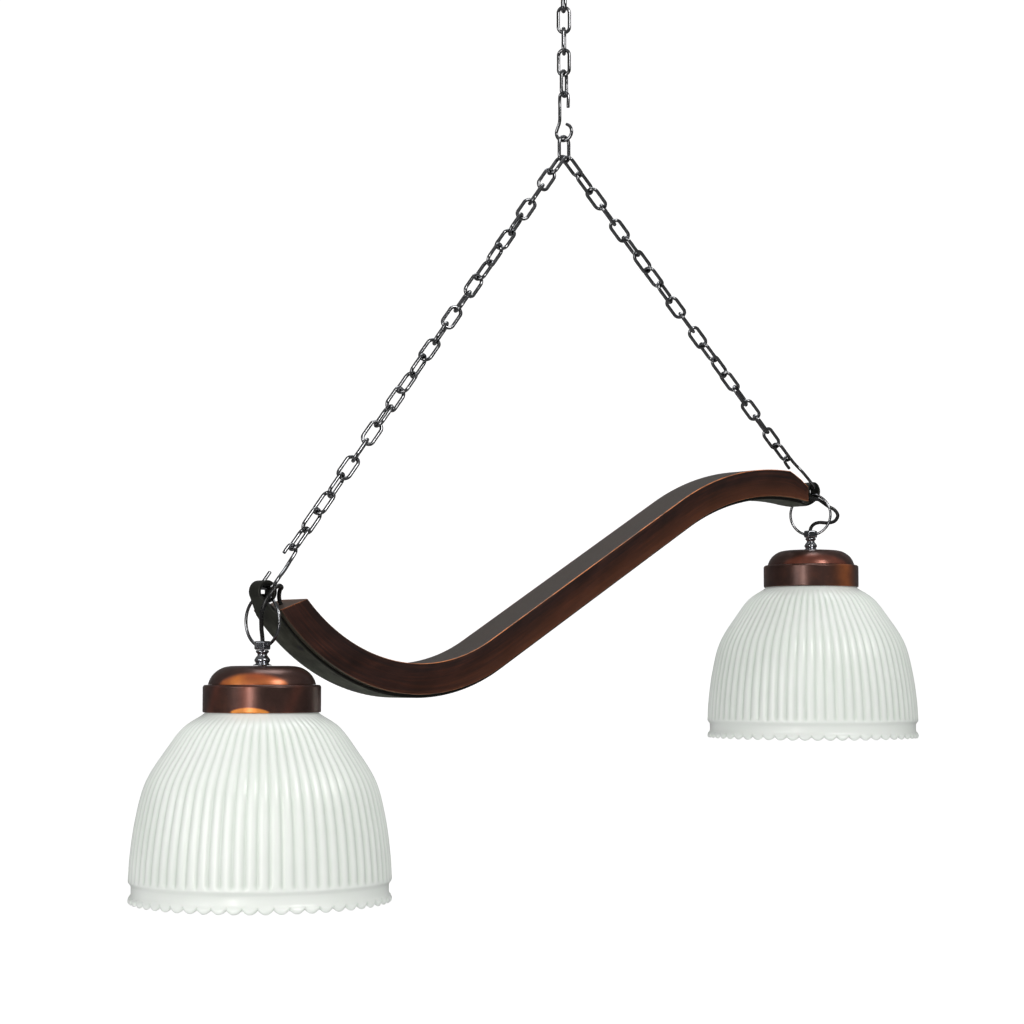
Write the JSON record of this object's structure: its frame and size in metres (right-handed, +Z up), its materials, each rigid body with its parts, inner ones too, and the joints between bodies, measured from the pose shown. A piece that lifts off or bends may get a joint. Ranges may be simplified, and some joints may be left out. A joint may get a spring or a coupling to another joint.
{
  "type": "pool table lamp",
  "caption": "Pool table lamp: an S-curved wooden beam over a steel strap hangs on chains and carries a ribbed glass bell shade at each end.",
  "frame": {"origin": "centre of the ceiling plate's upper face, in the plane of the ceiling and straight above the top chain", "axes": "+Z up, +X along the beam from its low left lamp to its high right lamp, +Y across the beam"},
  "size_m": [1.0114, 0.24, 0.9665],
  "materials": {
    "wood": "dark red-brown stain, satin lacquer, rubbed orange along the edges",
    "strap": "dark olive-grey mill finish, lightly oiled",
    "black_nickel": "black nickel plate, glossy",
    "gunmetal": "gunmetal plate, bright on the edges",
    "copper": "antique copper lacquer over steel, brushed round",
    "zinc": "zinc plate",
    "brass": "plain, slightly dull",
    "glass": "satin white, ribbed, faintly green-grey",
    "opal": "opal white",
    "porcelain": "glazed white",
    "cable": "black, glossy sheath"
  },
  "bodies": {
    "ceiling": {"ceiling_plate": "gunmetal", "plate_screw_1": "zinc", "plate_screw_2": "zinc", "hook_nut": "zinc", "ceiling_hook": "black_nickel"},
    "top_chain_upper": {"top_link_1": "black_nickel"},
    "top_chain": {"top_link_2": "black_nickel", "top_link_3": "black_nickel", "top_link_4": "black_nickel", "top_link_5": "black_nickel"},
    "apex_hook": {"apex_hook": "black_nickel"},
    "frame": {"apex_link": "black_nickel", "left_hook": "black_nickel", "left_chain": "black_nickel", "right_hook": "black_nickel", "right_chain": "black_nickel", "link_cable": "cable", "wooden_beam": "wood", "steel_strap": "strap", "strap_screw_1": "zinc", "strap_screw_2": "zinc", "strap_screw_3": "zinc", "strap_screw_4": "zinc", "strap_screw_5": "zinc", "strap_screw_6": "zinc"},
    "left_pendant": {"left_ring": "black_nickel", "left_boss": "gunmetal", "left_neck": "gunmetal", "left_cap_dome": "copper", "left_cap_band": "copper", "left_nipple": "brass", "left_lock_nut": "brass", "left_lamp_holder": "porcelain", "left_thread_shell": "brass", "left_shade_ring": "porcelain", "left_shade": "glass", "left_bulb_cap": "zinc", "left_bulb_glass": "opal", "left_cable_tail": "cable"},
    "right_pendant": {"right_ring": "black_nickel", "right_boss": "gunmetal", "right_neck": "gunmetal", "right_cap_dome": "copper", "right_cap_band": "copper", "right_nipple": "brass", "right_lock_nut": "brass", "right_lamp_holder": "porcelain", "right_thread_shell": "brass", "right_shade_ring": "porcelain", "right_shade": "glass", "right_bulb_cap": "zinc", "right_bulb_glass": "opal", "right_cable_tail": "cable"}
  },
  "joints": [
    {"name": "chain_swing_sideways", "type": "hinge", "parent": "ceiling", "child": "top_chain_upper", "pos_m": [0, 0, -0.041], "axis": [0, 1, 0], "range_deg": [-15, 15]},
    {"name": "chain_swing_fore_aft", "type": "hinge", "parent": "top_chain_upper", "child": "top_chain", "pos_m": [0, 0, -0.0609], "axis": [1, 0, 0], "range_deg": [-12, 12]},
    {"name": "frame_turn", "type": "hinge", "parent": "top_chain", "child": "apex_hook", "pos_m": [0, 0, -0.15], "axis": [0, 0, 1], "range_deg": [-25, 25]},
    {"name": "frame_tilt", "type": "hinge", "parent": "apex_hook", "child": "frame", "pos_m": [0, 0, -0.199], "axis": [0, 1, 0], "range_deg": [-8, 8]},
    {"name": "left_lamp_swing", "type": "hinge", "parent": "frame", "child": "left_pendant", "pos_m": [-0.3821, 0, -0.6837], "axis": [0, 1, 0], "range_deg": [-4, 15]},
    {"name": "right_lamp_swing", "type": "hinge", "parent": "frame", "child": "right_pendant", "pos_m": [0.3893, 0, -0.5503], "axis": [0, 1, 0], "range_deg": [-15, 4]}
  ]
}
